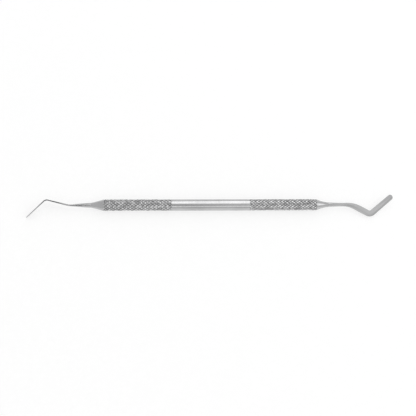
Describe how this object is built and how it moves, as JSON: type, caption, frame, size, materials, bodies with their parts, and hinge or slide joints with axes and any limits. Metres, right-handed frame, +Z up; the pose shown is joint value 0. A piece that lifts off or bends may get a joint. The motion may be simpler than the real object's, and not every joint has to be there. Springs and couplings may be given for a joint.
{
  "type": "dental spatula",
  "caption": "Double-ended dental filling spatula: round steel handle with knurled grips, one blade bent flatwise and one bent edgewise.",
  "frame": {"origin": "middle of the smooth band between the two knurled grips, on the handle's axis", "axes": "+X along the handle towards the end that is bent edgewise, +Z up from the surface that the instrument lies on, +Y level and across"},
  "size_m": [0.1786, 0.0104, 0.0056],
  "materials": {
    "handle_steel": "satin",
    "working_end_steel": "satin"
  },
  "bodies": {
    "root": {"handle": "handle_steel", "front_working_end": "working_end_steel", "side_working_end": "working_end_steel"}
  },
  "joints": []
}
